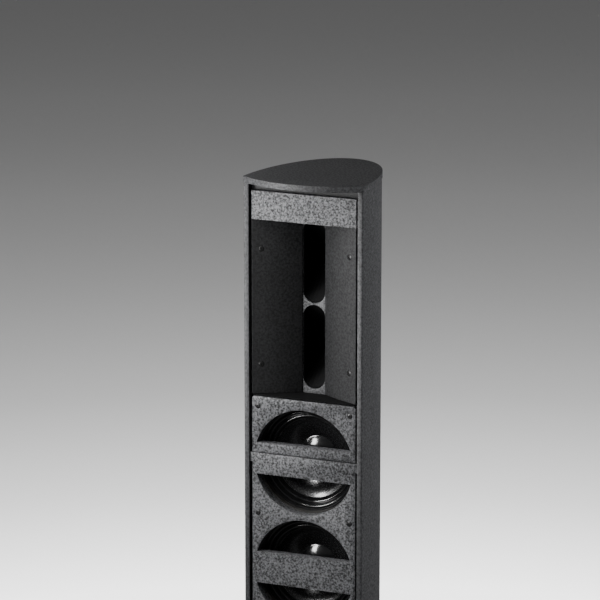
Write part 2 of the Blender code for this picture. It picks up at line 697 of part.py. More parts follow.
def high_driver(name, drop):
    """A compression driver: motor with a throat, a moving diaphragm, and a rear cover."""
    front, back = -HF_SETBACK, -(HF_SETBACK + HF_LENGTH)
    coil_out, coil_in = DOME_RADIUS + 0.0008, DOME_RADIUS - 0.0017
    floor = back + HF_COIL_DEPTH + 0.001
    motor = turned("hf_motor_" + name, [
        (HF_RADIUS, front), (HF_RADIUS, back), (coil_out, back), (coil_out, floor),
        (coil_in, floor), (coil_in, back), (THROAT_RADIUS + 0.0025, back),
        (THROAT_RADIUS, front)], steps=SMALL_STEPS)
    part(facing_front(motor, drop), "magnet")

    rest, steps = -DOME_SETBACK, 3
    curve = [(DOME_RADIUS * s / steps, rest - DOME_RISE * math.cos(math.pi / 2 * s / steps))
             for s in range(steps + 1)]
    coil = DOME_RADIUS - 0.0009
    skirt = [(coil, rest), (coil, rest + HF_COIL_DEPTH), (DOME_RADIUS, rest + HF_COIL_DEPTH)]
    front_side = [(max(r - DOME_WALL, 0.0), h + DOME_WALL) for r, h in curve[:-1]]
    profile = front_side + skirt + list(reversed(curve))
    diaphragm = turned("hf_diaphragm_" + name, profile, closed=False, steps=SMALL_STEPS)
    part(facing_front(diaphragm, drop), "steel")

    near, far = back - FIT, back - FIT - HF_COVER_DEPTH
    inside = HF_RADIUS - 0.006
    cover = turned("hf_cover_" + name, [
        (0.0, far + 0.0018), (inside, far + 0.0018), (inside, near), (HF_RADIUS, near),
        (HF_RADIUS, far + 0.002), (HF_RADIUS - 0.002, far), (0.0, far)], closed=False,
        steps=SMALL_STEPS)
    part(facing_front(cover, drop), "magnet")


# ---------------------------------------------------------------- electrics and lining
def terminal_cup():
    """A cup let into the curved back, its rim flush with the skin, holding two sockets."""
    cup = box("terminal_cup", CUP_HALF_WIDTH, CUP_FLOOR, 0.138, CUP_TOP, CUP_BOTTOM)
    upper, lower = CUP_TOP - 0.01, CUP_BOTTOM + 0.01
    skin = lying(outline_solid("skin_limit", [section(SKIN_HALF_WIDTH - FIT, SKIN_DEPTH - FIT)],
                               lower - upper), upper, lower)
    combine(cup, cutter(skin), "INTERSECT")
    pocket = box("cup_pocket", CUP_HALF_WIDTH - CUP_WALL, CUP_FLOOR + CUP_FLOOR_THICKNESS, 0.150,
                 CUP_TOP + CUP_WALL, CUP_BOTTOM - CUP_WALL)
    combine(cup, cutter(pocket), "DIFFERENCE")
    for number, drop in enumerate(SOCKET_DROPS, start=1):
        bore = turned("socket_bore_%d" % number, [
            (0, 0.02), (SOCKET_RADIUS + FIT, 0.02), (SOCKET_RADIUS + FIT, 0), (0, 0)],
            closed=False, steps=SMALL_STEPS)
        combine(cup, cutter(facing_back(bore, CUP_FLOOR - 0.01, drop)), "DIFFERENCE")
    part(cup, "horn_plastic")


def speaker_socket(number, drop):
    """A round locking socket: flange, barrel, and the ring-shaped recess round its core."""
    floor = CUP_FLOOR_THICKNESS + FIT
    core, recess, flange = 0.0040, 0.0090, SOCKET_RADIUS + 0.003
    recess_floor, inner_end, face = -0.009, -0.012, floor + 0.0025
    profile = [(0.0, floor + 0.0015), (core, floor + 0.0015), (core, recess_floor),
               (recess, recess_floor), (recess, face), (flange, face), (flange, floor),
               (SOCKET_RADIUS, floor), (SOCKET_RADIUS, inner_end), (0.0, inner_end)]
    socket = turned("speaker_socket_%d" % number, profile, closed=False, steps=SMALL_STEPS)
    part(facing_back(socket, CUP_FLOOR, drop), "horn_plastic")


def wall_boss(name, drop):
    """A threaded insert in the back, with a flat face just proud of the skin."""
    length = BOSS_BACK - BOSS_FRONT
    boss = turned("wall_boss_" + name, [
        (0.0, 0.001), (BOSS_HOLE, 0.001), (BOSS_HOLE, length), (BOSS_RADIUS, length),
        (BOSS_RADIUS, 0.0), (0.0, 0.0)], closed=False, steps=SMALL_STEPS)
    part(facing_back(boss, BOSS_FRONT, drop), "steel")


def crossover():
    """The dividing network: a board with a coil and a capacitor on its rear face."""
    face = NETWORK_FACE
    part(box("crossover_board", 0.028, face - 0.0016, face, NETWORK_TOP, NETWORK_BOTTOM), "circuit")
    coil = turned("crossover_coil", [(0.0140, 0.014), (0.0140, 0.0), (0.0060, 0.0),
                                     (0.0060, 0.014)], steps=SMALL_STEPS)
    part(facing_back(coil, face + FIT, NETWORK_TOP + 0.022), "copper")
    capacitor = turned("crossover_capacitor", [(0.0, 0.017), (0.008, 0.017), (0.008, -0.017),
                                               (0.0, -0.017)], closed=False, steps=SMALL_STEPS)
    capacitor.location = (0.0, at_y(face + FIT + 0.008), at_z(NETWORK_BOTTOM - 0.025))
    part(capacitor, "rubber")


def damping_foam():
    """A foam liner that follows the inside of the curved back behind the first woofer."""
    outer = back_curve(SKIN_HALF_WIDTH - WALL - 0.002, SKIN_DEPTH - WALL - 0.002, 0.103)
    inner = back_curve(SKIN_HALF_WIDTH - WALL - 0.012, SKIN_DEPTH - WALL - 0.012, 0.096)
    upper, lower = 0.250, 0.425
    liner = outline_solid("damping_foam", [outer + list(reversed(inner))], lower - upper)
    part(lying(liner, upper, lower), "foam")


# ---------------------------------------------------------------- assembly
def build():
    cabinet_shell()
    caps()
    pole_socket()
    feet()
    panel_top = CAP_THICKNESS + END_SLOT
    end_panel("top_panel", panel_top, panel_top + END_PANEL_HEIGHT, CAP_THICKNESS + FIT,
              panel_top + END_PANEL_HEIGHT)
    end_panel("bottom_panel", LOW_PANEL_TOP, LOW_PANEL_BOTTOM, LOW_PANEL_TOP,
              LOW_CAP_TOP - FIT)
    upper_baffle_plate()
    main_baffle_plate()
    driver_board()
    woofers()
    horn_wing("horn_wing_left", -1)
    horn_wing("horn_wing_right", 1)
    horn_end("horn_roof", PLATE_SETBACK + PANEL_THICKNESS + BACKING_THICKNESS + FIT,
             HORN_TOP - FIT - SHEET)
    horn_end("horn_floor", PLATE_SETBACK + 0.0004, HORN_BOTTOM + FIT)
    slot_strip()
    for index, name in enumerate(("upper", "lower")):
        waveguide("waveguide_" + name, slot_drop(index))
        high_driver(name, slot_drop(index))
    terminal_cup()
    for number, drop in enumerate(SOCKET_DROPS, start=1):
        speaker_socket(number, drop)
    for name, drop in BOSS_DROPS.items():
        wall_boss(name, drop)
    crossover()
    damping_foam()


build()
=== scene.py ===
"""The looks of a column loudspeaker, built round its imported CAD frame."""
import math
import bmesh
import bpy
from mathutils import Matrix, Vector


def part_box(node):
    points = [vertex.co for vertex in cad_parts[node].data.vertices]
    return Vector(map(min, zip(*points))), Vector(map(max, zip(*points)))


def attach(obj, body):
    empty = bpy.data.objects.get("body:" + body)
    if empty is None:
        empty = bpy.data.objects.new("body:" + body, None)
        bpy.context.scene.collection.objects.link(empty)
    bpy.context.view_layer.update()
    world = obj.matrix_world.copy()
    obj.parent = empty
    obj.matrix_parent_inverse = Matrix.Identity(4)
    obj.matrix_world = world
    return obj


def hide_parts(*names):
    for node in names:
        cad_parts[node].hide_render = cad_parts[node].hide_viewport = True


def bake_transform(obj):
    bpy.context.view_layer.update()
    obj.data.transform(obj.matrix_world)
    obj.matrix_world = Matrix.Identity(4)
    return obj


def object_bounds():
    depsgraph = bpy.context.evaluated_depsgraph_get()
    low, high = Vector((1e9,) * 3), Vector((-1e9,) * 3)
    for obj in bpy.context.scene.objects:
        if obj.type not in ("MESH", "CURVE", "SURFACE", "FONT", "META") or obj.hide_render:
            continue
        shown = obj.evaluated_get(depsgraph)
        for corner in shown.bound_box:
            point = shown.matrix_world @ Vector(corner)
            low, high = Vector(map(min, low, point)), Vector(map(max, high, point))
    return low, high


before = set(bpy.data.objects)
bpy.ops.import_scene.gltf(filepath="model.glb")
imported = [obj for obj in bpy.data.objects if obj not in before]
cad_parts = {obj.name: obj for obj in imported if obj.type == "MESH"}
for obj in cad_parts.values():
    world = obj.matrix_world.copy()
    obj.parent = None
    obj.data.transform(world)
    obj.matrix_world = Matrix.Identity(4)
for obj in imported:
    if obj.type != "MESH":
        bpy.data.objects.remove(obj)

CAD_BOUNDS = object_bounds()
LOW, HIGH = CAD_BOUNDS
TOP, FRONT = HIGH.z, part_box("cabinet_shell")[0].y
WOOFERS = 4
ROOT = "cabinet"

# ---------------------------------------------------------------- sizes, in metres
FIT = 0.0003                  # gap between pieces that sit in each other
FINE_EDGE = 0.0003            # rounded edges of bent sheet and moulded pieces
EDGE = 0.0005                 # rounded edges of plates and panels
BACK_POWER = 2.0              # the back of the D section is a superellipse of this power
CURVE_LEAD = 1.1              # its points start this share past the setback of what it meets
CORNER_LEAD = 1.3             # the same where it meets the small front corner
CORNER = 0.0015               # front corners of the D section
RIM_DEPTH = 0.010             # setback of the step behind the front rims
WALL = 0.004

CAP_BOW_ANGLE = 35.0          # slope of the caps' bowed front edge where it ends, degrees
CAP_CORNER = 0.002
CAP_EDGE = 0.0009

OPENING_RADIUS = 0.0559       # woofer openings, and the bars across them
BAR_HALF_HEIGHT = 0.0168
TAB_HEIGHT = 0.010            # tabs at the head of the main plate
PLATE_CORNER = 0.003          # upper corners of the upper plate
SEAM = 0.0006                 # what the upper plate's lower edge stands back at the seam

WING_BEND = (0.0356, 0.0124)  # half widths and setbacks of the horn wall's bend and tip
WING_TIP = (0.0128, 0.0275)
WING_LIP = 0.001
WING_THICKNESS = 0.0034
WING_FLANGE = (0.0055, 0.0025)  # how far behind its front edge the flange is, and its thickness
WING_HEEL = 0.018             # from the bend out to where the flange starts
SLOT_RADIUS, SLOT_LENGTH = 0.0124, 0.0890
SLOT_EDGE = 0.0004

SURROUND_LIP = 0.0190         # setbacks of the surround's lip and of the cone's rim
CONE_RIM = 0.0250
CONE_RADIUS = 0.0420
TURNED_STEPS = 96             # facets of the woofers' turned pieces

SCREW_RADIUS = 0.0027
SCREW_SINK = 0.0011           # depth of a screw's pocket
SCREW_HEAD = 0.0009           # height of its head, and of the head's hidden foot
SCREW_FOOT = 0.0004
SCREW_SEAT = 0.0005           # how far the head's base stands off the pocket's floor
KEY_SHARE = 0.48              # its key socket's radius, as a share of its own
KEY_DEPTH = 0.0014
PLATE_FACE = 0.002            # setback of the plates' faces
PLATE_SCREW_X = 0.0518
PLATE_SCREW_INSET = 0.0102
WING_SCREW_X = 0.0492
WING_SCREW_DROPS = (0.0756, 0.1970)     # below the top

CUP_WINDOW_DEPTH = 0.035      # the cut through the back wall for the terminal cup
CUP_WINDOW_SETBACK = 0.010    # from the back to the middle of that cut
CUP_FLOOR_THICKNESS = 0.003
CUP_SCREW_RADIUS = 0.0020
CUP_SCREW_X = 0.0205
CUP_SCREW_INSET = 0.0065

FRONT_GRAIN = 0.0021          # size of the structured paint's grain
SHELL_GRAIN = 0.0022
CLOUD_SIZE = 0.045            # and of its slow unevenness
PANEL_SHADE_DEPTH = 0.0070     # setback behind which the cross panels are painted near black, painted shade in the recess by the caps

# ---------------------------------------------------------------- camera and light
CAMERA_AZIMUTH = 24.362       # degrees to the right of straight ahead
CAMERA_ELEVATION = 13.066
CAMERA_DISTANCE = 3.8
CAMERA_LENS = 223.51
AIM = Vector((-0.0030, FRONT, TOP - 0.1237))
FLOOR_RADIUS = 30.0
FLOOR_GAP = 0.0002
# distance from the column in metres, and the floor's grey there; the greys rise outwards, painted
# shade under the floor lamp's pool of light
FLOOR_TONES = ((0.0, 0.18), (0.5, 0.255), (0.8, 0.38), (1.03, 0.55), (1.49, 0.475), (2.06, 0.495),
               (2.77, 0.63), (3.66, 0.80), (4.81, 0.90), (6.3, 0.90))
FLOOR_LAMP_HEIGHT, FLOOR_LAMP_SIZE, FLOOR_POWER = 1.2, 0.6, 238.0
BACK_LAMP_DISTANCE, BACK_LAMP_SIZE, BACK_LAMP_POWER = 1.5, 0.8, 14.0
BACK_LAMP_DROP, BACK_AIM_DROP = 0.3, 0.45          # below the top
WORLD_GREY = 0.096
# name, azimuth, distance, height above the column's top, width, height, power in watts, and how
# far below the top it is aimed
SOFT_LAMPS = (("key_front", -22, 0.45, 0.0, 0.25, 0.25, 1.8, 0.15),
              ("key_side", -64, 0.45, 0.0, 0.25, 0.25, 2.9, 0.15),
              ("key_low", -52, 0.50, -0.3, 0.25, 0.25, 1.65, 0.4),
              ("key_top", -75, 0.50, 0.1, 0.25, 0.25, 0.9, 0.05),
              ("fill_right", 100, 1.5, 0.2, 0.8, 0.8, 28.0, 0.15),
              ("rim_back", 180, 1.5, 1.0, 0.8, 0.8, 2.4, 0.15),
              ("rim_left", -150, 1.5, 0.8, 0.8, 0.8, 0.4, 0.15))
GLINT_LAMPS = (("glint_side", -36, 0.63, -0.13, 0.14, 0.26, 4.4, 0.3),
               ("glint_high", -35, 0.42, 0.42, 0.20, 0.20, 9.0, 0.3))


# ---------------------------------------------------------------- nodes for materials
class Shader:
    """A material with a Principled BSDF, and short ways to add nodes to it."""

    def __init__(self, name, roughness, metallic=0.0, coat=0.0, coat_roughness=0.1):
        self.material = bpy.data.materials.new(name)
        self.material.use_nodes = True
        self.tree = self.material.node_tree
        self.bsdf = self.tree.nodes["Principled BSDF"]
        self.bsdf.inputs["Roughness"].default_value = roughness
        self.bsdf.inputs["Metallic"].default_value = metallic
        self.bsdf.inputs["Coat Weight"].default_value = coat
        self.bsdf.inputs["Coat Roughness"].default_value = coat_roughness
        self.place = self.node("ShaderNodeTexCoord").outputs["Object"]

    def node(self, kind, **settings):
        made = self.tree.nodes.new(kind)
        for key, value in settings.items():
            setattr(made, key, value)
        return made

    def link(self, source, target):
        self.tree.links.new(source, target)

    def noise(self, size, detail=2.0, roughness=0.5, stretch=None):
        """A noise whose features are about size metres across."""
        made = self.node("ShaderNodeTexNoise")
        made.inputs["Scale"].default_value = 1.0 / size
        made.inputs["Detail"].default_value = detail
        made.inputs["Roughness"].default_value = roughness
        place = self.place
        if stretch:
            mapping = self.node("ShaderNodeMapping")
            mapping.inputs["Scale"].default_value = stretch
            self.link(place, mapping.inputs["Vector"])
            place = mapping.outputs["Vector"]
        self.link(place, made.inputs["Vector"])
        return made.outputs["Fac"]

    def ramp(self, source, stops):
        """Map a value through colour stops of (position, grey or colour)."""
        made = self.node("ShaderNodeValToRGB")
        elements = made.color_ramp.elements
        while len(elements) < len(stops):
            elements.new(0.5)
        for element, (position, tone) in zip(elements, stops):
            element.position = position
            element.color = (*tone, 1.0) if isinstance(tone, tuple) else (tone, tone, tone, 1.0)
        self.link(source, made.inputs["Fac"])
        return made.outputs["Color"]

    def spread(self, source, low, high, out_low, out_high):
        """Map low..high of a value to out_low..out_high."""
        made = self.node("ShaderNodeMapRange")
        for key, value in (("From Min", low), ("From Max", high), ("To Min", out_low),
                           ("To Max", out_high)):
            made.inputs[key].default_value = value
        self.link(source, made.inputs["Value"])
        return made.outputs["Result"]

    def colour(self, source):
        self.link(source, self.bsdf.inputs["Base Color"])

    def roughness(self, source):
        self.link(source, self.bsdf.inputs["Roughness"])

    def specular(self, level):
        self.bsdf.inputs["Specular IOR Level"].default_value = level

    def bump(self, source, distance):
        made = self.node("ShaderNodeBump")
        made.inputs["Distance"].default_value = distance
        self.link(source, made.inputs["Height"])
        self.link(made.outputs["Normal"], self.bsdf.inputs["Normal"])


def tinted(grey):
    """A slightly cool grey."""
    return (grey, grey * 1.01, grey * 1.06)


def structured_paint(name, dark, light, grain, height, painted_shade_from=None):
    """Structured paint: small grains and slow unevenness; the grains' raised tips are painted
    paler, partly the paint's own speckle and partly painted highlight.

    What lies behind the given setback is painted near black, as painted shade in the recess under
    an overhang.
    """
    made = Shader(name, 0.5)
    grains = made.noise(grain, 2.5, 0.62)
    clouds = made.noise(CLOUD_SIZE, 2.0)
    mixed = made.node("ShaderNodeMath", operation="MULTIPLY_ADD")
    made.link(clouds, mixed.inputs[0])
    mixed.inputs[1].default_value = 0.08
    made.link(grains, mixed.inputs[2])
    # the tone follows the grains that also drive the bump: the paler tips are partly painted
    # highlight
    tone = made.ramp(mixed.outputs[0], ((0.42, tinted(dark)), (0.54, tinted((dark + light) / 2)),
                                        (0.68, tinted(light))))
    if painted_shade_from is not None:
        split = made.node("ShaderNodeSeparateXYZ")
        made.link(made.place, split.inputs["Vector"])
        behind = made.node("ShaderNodeMath", operation="GREATER_THAN")
        made.link(split.outputs["Y"], behind.inputs[0])
        behind.inputs[1].default_value = painted_shade_from
        # painted shade: near black behind the setback
        shade_mix = made.node("ShaderNodeMix", data_type="RGBA")
        made.link(behind.outputs[0], shade_mix.inputs["Factor"])
        made.link(tone, shade_mix.inputs["A"])
        shade_mix.inputs["B"].default_value = (*tinted(0.012), 1.0)
        tone = shade_mix.outputs["Result"]
    made.colour(tone)
    made.roughness(made.spread(grains, 0.3, 0.7, 0.62, 0.42))
    made.specular(0.36)
    made.bump(grains, height)
    return made.material


def satin_plastic(name, grey, roughness, specular=0.5):
    """Moulded plastic: a fine mould texture and faint flow marks along its length."""
    made = Shader(name, roughness)
    flow = made.noise(0.02, 3.0, 0.6, (1.0, 1.0, 0.25))
    grain = made.noise(0.00045, 2.0)
    made.colour(made.ramp(flow, ((0.35, tinted(grey * 0.85)), (0.65, tinted(grey * 1.15)))))
    made.roughness(made.spread(flow, 0.3, 0.7, roughness - 0.05, roughness + 0.07))
    made.specular(specular)
    made.bump(grain, 0.00004)
    return made.material


def coated_cone(name):
    """Glossy coated pulp: fine fibres under a clear film."""
    made = Shader(name, 0.24, coat=0.5, coat_roughness=0.09)
    fibres = made.noise(0.0016, 4.0, 0.7)
    made.colour(made.ramp(fibres, ((0.35, tinted(0.008)), (0.7, tinted(0.018)))))
    made.roughness(made.spread(fibres, 0.3, 0.7, 0.18, 0.32))
    made.bump(fibres, 0.00006)
    return made.material


def gloss_dome(name):
    """Lacquered dome, a little uneven."""
    made = Shader(name, 0.16, coat=0.5, coat_roughness=0.06)
    haze = made.noise(0.004, 3.0, 0.6)
    made.colour(made.ramp(haze, ((0.35, tinted(0.010)), (0.65, tinted(0.016)))))
    made.roughness(made.spread(haze, 0.3, 0.7, 0.13, 0.20))
    made.bump(haze, 0.00010)
    return made.material


def rubber(name, grey, roughness, specular=0.5):
    """Rubber with a fine skin and some dust."""
    made = Shader(name, roughness)
    dust = made.noise(0.006, 4.0, 0.65)
    skin = made.noise(0.0006, 2.0)
    made.colour(made.ramp(dust, ((0.4, tinted(grey * 0.8)), (0.75, tinted(grey * 1.5)))))
    made.roughness(made.spread(dust, 0.35, 0.7, roughness - 0.07, roughness + 0.1))
    made.specular(specular)
    made.bump(skin, 0.00003)
    return made.material


def bare_metal(name, grey, roughness, warm=1.0):
    """Plated or pressed metal with faint brushing."""
    made = Shader(name, roughness, metallic=0.9)
    brushed = made.noise(0.003, 3.0, 0.6, (1.0, 1.0, 9.0))
    low = (grey * 0.8 * warm, grey * 0.8, grey * 0.8 / warm)
    high = (grey * 1.15 * warm, grey * 1.15, grey * 1.15 / warm)
    made.colour(made.ramp(brushed, ((0.35, low), (0.65, high))))
    made.roughness(made.spread(brushed, 0.3, 0.7, roughness - 0.08, roughness + 0.1))
    return made.material


def board_stain(name):
    """Dark-stained fibreboard."""
    made = Shader(name, 0.75)
    fibre = made.noise(0.0025, 5.0, 0.7, (1.0, 1.0, 0.3))
    made.colour(made.ramp(fibre, ((0.35, (0.012, 0.011, 0.010)), (0.7, (0.028, 0.026, 0.024)))))
    made.bump(fibre, 0.00008)
    return made.material


def felt(name):
    """Dark felt and foam."""
    made = Shader(name, 0.95)
    fluff = made.noise(0.0012, 5.0, 0.75)
    made.colour(made.ramp(fluff, ((0.3, tinted(0.02)), (0.7, tinted(0.06)))))
    made.bump(fluff, 0.0004)
    return made.material


def circuit_green(name):
    """A green circuit board under lacquer."""
    made = Shader(name, 0.4, coat=0.3)
    weave = made.noise(0.002, 2.0)
    made.colour(made.ramp(weave, ((0.4, (0.008, 0.07, 0.03)), (0.6, (0.012, 0.10, 0.045)))))
    return made.material


FRONT_PAINT = structured_paint("front_paint", 0.012, 0.160, FRONT_GRAIN, 0.00040)
# the cross panels' paint, painted near black behind a setback as the shade by the caps
PANEL_PAINT = structured_paint("panel_paint", 0.012, 0.168, FRONT_GRAIN, 0.00040,
                               FRONT + PANEL_SHADE_DEPTH)
STRIP_PAINT = structured_paint("strip_paint", 0.020, 0.110, FRONT_GRAIN, 0.00030)
SHELL_PAINT = structured_paint("shell_paint", 0.024, 0.068, SHELL_GRAIN, 0.00025)
CAP_PAINT = structured_paint("cap_paint", 0.020, 0.072, SHELL_GRAIN, 0.00025)
WING_PLASTIC = structured_paint("wing_plastic", 0.004, 0.023, SHELL_GRAIN, 0.00015)
DARK_PLASTIC = satin_plastic("dark_plastic", 0.010, 0.50)
# near black: partly the throat parts' own black plastic, partly painted shade on the horn's floor
# and deep in the slots
THROAT_BLACK = satin_plastic("throat_black", 0.005, 0.80, 0.08)
CONE_COAT = coated_cone("cone_coat")
DOME_GLOSS = gloss_dome("dome_gloss")
SURROUND_RUBBER = rubber("surround_rubber", 0.008, 0.13, 0.9)
FOOT_RUBBER = rubber("foot_rubber", 0.02, 0.6)
BLACK_METAL = bare_metal("black_metal", 0.06, 0.38)
STEEL = bare_metal("steel", 0.45, 0.35)
COPPER = bare_metal("copper", 0.42, 0.35, 1.5)
BOARD = board_stain("board_stain")
FELT = felt("felt")
CIRCUIT = circuit_green("circuit_green")


# ---------------------------------------------------------------- mesh helpers
def collect(item):
    bpy.context.scene.collection.objects.link(item)
    return item


def smooth(item, degrees=32):
    item.data.shade_smooth()
    item.data.set_sharp_from_angle(angle=math.radians(degrees))
    return item


def coat(item, material):
    item.data.materials.clear()
    item.data.materials.append(material)


def finish_piece(item, material, body, replaces=None):
    """Material, body and the CAD node that the piece stands for."""
    coat(item, material)
    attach(item, body)
    if replaces:
        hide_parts(replaces)


def to_mesh(item):
    """The evaluated object as a welded mesh with its place applied."""
    bpy.context.view_layer.update()
    seen = item.evaluated_get(bpy.context.evaluated_depsgraph_get())
    mesh = bpy.data.meshes.new_from_object(seen)
    mesh.transform(item.matrix_world)
    shape = bmesh.new()
    shape.from_mesh(mesh)
    bmesh.ops.remove_doubles(shape, verts=shape.verts, dist=1e-6)
    bmesh.ops.recalc_face_normals(shape, faces=shape.faces)
    shape.to_mesh(mesh)
    shape.free()
    name = item.name
    bpy.data.objects.remove(item)
    return collect(bpy.data.objects.new(name, mesh))


def outline_solid(name, loops, thickness):
    """A flat outline in local XY, centred on Z = 0; loops after the first are holes."""
    curve = bpy.data.curves.new(name, "CURVE")
    curve.dimensions = "2D"
    curve.fill_mode = "BOTH"
    curve.extrude = thickness / 2
    for loop in loops:
        spline = curve.splines.new("POLY")
        spline.points.add(len(loop) - 1)
        for point, (x, y) in zip(spline.points, loop):
            point.co = (x, y, 0.0, 1.0)
        spline.use_cyclic_u = True
    return collect(bpy.data.objects.new(name, curve))


def lying(item, low_z, high_z):
    """An outline as a level slab; its outline's Y is a setback from the front."""
    item.location = (0.0, FRONT, (low_z + high_z) / 2)
    return to_mesh(item)


def standing(item, low_y, high_y):
    """An outline as an upright plate; its outline's Y is a height."""
    item.rotation_euler = (math.pi / 2, 0.0, 0.0)
    item.location = (0.0, (low_y + high_y) / 2, 0.0)
    return to_mesh(item)


def boolean(item, tool, operation="DIFFERENCE"):
    """Cut or join with a tool body, apply it, and remove the tool."""
    step = item.modifiers.new("tool", "BOOLEAN")
    step.operation = operation
    step.object = tool
    made = to_mesh(item)
    bpy.data.objects.remove(tool)
    return made


def rounded(item, width, segments=2, degrees=40):
    """A modifier that rounds the edges sharper than an angle."""
    step = item.modifiers.new("edge", "BEVEL")
    step.width = width
    step.segments = segments
    step.limit_method = "ANGLE"
    step.angle_limit = math.radians(degrees)


def bevel(item, width, segments=2, degrees=40):
    """Rounded edges, applied."""
    rounded(item, width, segments, degrees)
    return to_mesh(item)


def turned(name, profile, steps=TURNED_STEPS, closed=True):
    """A profile of (radius, height) turned about local Z, down its outer side."""
    count = len(profile)
    edges = [(i, i + 1) for i in range(count - 1)] + ([(count - 1, 0)] if closed else [])
    mesh = bpy.data.meshes.new(name)
    mesh.from_pydata([(radius, 0.0, height) for radius, height in profile], edges, [])
    item = collect(bpy.data.objects.new(name, mesh))
    screw = item.modifiers.new("turn", "SCREW")
    screw.steps = steps
    screw.render_steps = steps
    screw.use_merge_vertices = True
    screw.merge_threshold = 1e-6
    return item


def plug(radius, low, high, steps):
    """A round cutting body along local Z."""
    profile = [(0.0, high), (radius, high), (radius, low), (0.0, low)]
    return turned("plug", profile, steps, closed=False)


def aimed(item, place, direction):
    """Put an item's origin at a place, with its local +Z along a direction."""
    item.rotation_mode = "QUATERNION"
    item.rotation_quaternion = Vector(direction).to_track_quat("Z", "Y")
    item.location = place
    return to_mesh(item)


def arc(centre, radius, start, end, steps):
    """Points on an arc from one angle to another, in degrees."""
    span = [math.radians(start + (end - start) * i / steps) for i in range(steps + 1)]
    return [(centre[0] + radius * math.cos(a), centre[1] + radius * math.sin(a)) for a in span]


def through(points, steps):
    """A smooth Catmull-Rom curve through the points."""
    ends = [points[0]] + list(points) + [points[-1]]
    made = []
    for before, first, last, after in zip(ends, ends[1:], ends[2:], ends[3:]):
        for step in range(steps):
            t = step / steps
            made.append(tuple(
                0.5 * (2 * b + (c - a) * t + (2 * a - 5 * b + 4 * c - d) * t * t
                       + (3 * b - a - 3 * c + d) * t ** 3)
                for a, b, c, d in zip(before, first, last, after)))
    return made + [points[-1]]


# ---------------------------------------------------------------- cabinet
def back_curve(half_width, depth, first_y):
    """The rounded back from right to left, without the points in front of first_y."""
    steps = 120
    points = []
    for step in range(steps + 1):
        angle = math.pi * step / steps
        x = half_width * math.copysign(abs(math.cos(angle)) ** (2 / BACK_POWER), math.cos(angle))
        y = depth * abs(math.sin(angle)) ** (2 / BACK_POWER)
        if y > first_y:
            points.append((x, y))
    return points


def front_corners(half_width):
    """The left and the right front corner of the D section."""
    x = half_width - CORNER
    return arc((-x, CORNER), CORNER, 180, 270, 6), arc((x, CORNER), CORNER, 270, 360, 6)


def shell():
    """The bent cabinet wall with its two front rims."""
    low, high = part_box("cabinet_shell")
    half, depth = high.x, high.y - FRONT
    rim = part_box("main_baffle_plate")[1].x + FIT
    inner, inner_depth = half - WALL, depth - WALL
    step_x = inner * (1 - (RIM_DEPTH / inner_depth) ** BACK_POWER) ** (1 / BACK_POWER)
    left, right = front_corners(half)
    outside = right + back_curve(half, depth, CORNER * CORNER_LEAD) + left
    inside = [(-rim, 0.0), (-rim, RIM_DEPTH), (-step_x, RIM_DEPTH)]
    inside += reversed(back_curve(inner, inner_depth, RIM_DEPTH * CURVE_LEAD))
    inside += [(step_x, RIM_DEPTH), (rim, RIM_DEPTH), (rim, 0.0)]
    item = lying(outline_solid("shell_skin", [outside + inside], high.z - low.z), low.z, high.z)
    cup_low, cup_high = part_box("terminal_cup")
    bpy.ops.mesh.primitive_cube_add(size=1.0)
    window = bpy.context.object
    window.scale = (cup_high.x - cup_low.x + 2 * FIT, CUP_WINDOW_DEPTH,
                    cup_high.z - cup_low.z + 2 * FIT)
    window.location = (0.0, HIGH.y - CUP_WINDOW_SETBACK, (cup_low.z + cup_high.z) / 2)
    item = boolean(item, window)
    for node in ("wall_boss_upper", "wall_boss_lower"):
        boss_low, boss_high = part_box(node)
        radius = (boss_high.x - boss_low.x) / 2 + FIT
        reach = 0.02
        centre = (boss_low + boss_high) / 2
        item = boolean(item, aimed(plug(radius, -reach, reach, 48), centre, (0, 1, 0)))
    item = bevel(item, FINE_EDGE, 2, 50)
    finish_piece(smooth(item), SHELL_PAINT, ROOT, "cabinet_shell")


def cap(node):
    """An end cap with a bowed front and softened edges."""
    low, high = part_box(node)
    half, bulge = high.x, FRONT - low.y
    bow = (half - CAP_CORNER) / math.sin(math.radians(CAP_BOW_ANGLE)) + CAP_CORNER
    x = half - CAP_CORNER
    y = bow - bulge - (bow - CAP_CORNER) * math.cos(math.radians(CAP_BOW_ANGLE))
    outline = arc((-x, y), CAP_CORNER, 180, 270 - CAP_BOW_ANGLE, 6)
    outline += arc((0.0, bow - bulge), bow, 270 - CAP_BOW_ANGLE, 270 + CAP_BOW_ANGLE, 72)[1:-1]
    outline += arc((x, y), CAP_CORNER, 270 + CAP_BOW_ANGLE, 360, 6)
    loops = [outline + back_curve(half, high.y - FRONT, y * CURVE_LEAD)]
    if node == "bottom_cap":
        socket_low, socket_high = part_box("pole_socket")
        centre = (socket_low.y + socket_high.y) / 2 - FRONT
        loops.append(arc((0.0, centre), socket_high.x + FIT, 0, 360, 64)[:-1])
    item = lying(outline_solid(node + "_skin", loops, high.z - low.z), low.z, high.z)
    item = bevel(item, CAP_EDGE, 3, 50)
    finish_piece(smooth(item), CAP_PAINT, ROOT, node)


# ---------------------------------------------------------------- front plates
def woofer_centre(number):
    low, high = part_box("woofer_%d_cone" % number)
    return (low.z + high.z) / 2


def half_moon(height, side):
    """The opening above (side 1) or below (side -1) a woofer's bar."""
    edge = math.degrees(math.asin(BAR_HALF_HEIGHT / OPENING_RADIUS))
    first, last = (edge, 180 - edge) if side > 0 else (180 + edge, 360 - edge)
    return arc((0.0, height), OPENING_RADIUS, first, last, 56)


def counterbore(item, place, direction):
    """A shallow round pocket for a screw head."""
    pocket = plug(SCREW_RADIUS + FIT, -SCREW_SINK, 0.004, 32)
    return boolean(item, aimed(pocket, place, direction))


